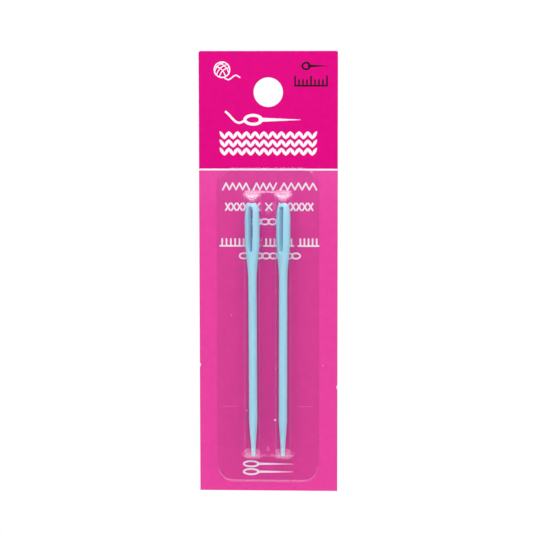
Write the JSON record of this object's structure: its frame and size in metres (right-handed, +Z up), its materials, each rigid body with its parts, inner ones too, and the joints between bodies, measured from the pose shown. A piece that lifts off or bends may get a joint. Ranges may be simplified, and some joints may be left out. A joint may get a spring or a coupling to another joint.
{
  "type": "yarn needle pack",
  "caption": "Hang card with a clear blister whose barrels hold large-eyed plastic yarn needles, tips down.",
  "frame": {"origin": "centre of the hang hole, on the card's back face", "axes": "+Z up along the card, front towards -Y, +X to the right seen from the front"},
  "size_m": [0.038, 0.0047, 0.1214],
  "materials": {
    "card": "coated board printed in two pinks, satin",
    "clear_sheet": "clear thermoformed sheet, glossy",
    "needle_plastic": "light blue moulded plastic, soft sheen"
  },
  "bodies": {
    "pack": {"card": "card", "blister": "clear_sheet"},
    "left_needle": {"needle_left": "needle_plastic"},
    "right_needle": {"needle_right": "needle_plastic"}
  },
  "joints": [
    {"name": "left_needle_slide", "type": "slide", "parent": "pack", "child": "left_needle", "axis": [0, 0, 1], "range_m": [0, 0.00225]},
    {"name": "right_needle_slide", "type": "slide", "parent": "pack", "child": "right_needle", "axis": [0, 0, 1], "range_m": [0, 0.00225]}
  ]
}
